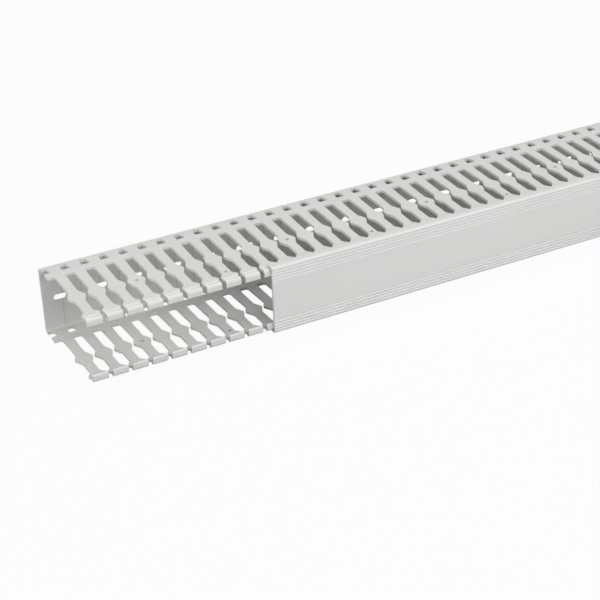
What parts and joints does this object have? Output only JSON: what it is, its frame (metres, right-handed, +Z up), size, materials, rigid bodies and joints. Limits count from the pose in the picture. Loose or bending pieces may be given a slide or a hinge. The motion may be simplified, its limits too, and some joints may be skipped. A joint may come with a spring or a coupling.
{
  "type": "slotted wiring duct",
  "caption": "Straight U-shaped wiring duct with slotted finger walls, a punched base and a clip-on cover that slides along it.",
  "frame": {"origin": "middle of the footprint of the duct and its slid-back cover, on the face of the slotted wall that it lies on", "axes": "+X along the duct away from the sawn end that the cover stands back from, -Y out of the open side that the cover closes, +Z up"},
  "size_m": [1.1196, 0.075, 0.045],
  "materials": {
    "duct_pvc": "satin",
    "cover_pvc": "satin"
  },
  "bodies": {
    "duct": {"duct_channel": "duct_pvc"},
    "lid": {"cover": "cover_pvc"}
  },
  "joints": [
    {"name": "cover_slide", "type": "slide", "parent": "duct", "child": "lid", "axis": [1, 0, 0], "range_m": [-1.0196, 0.7804]}
  ]
}
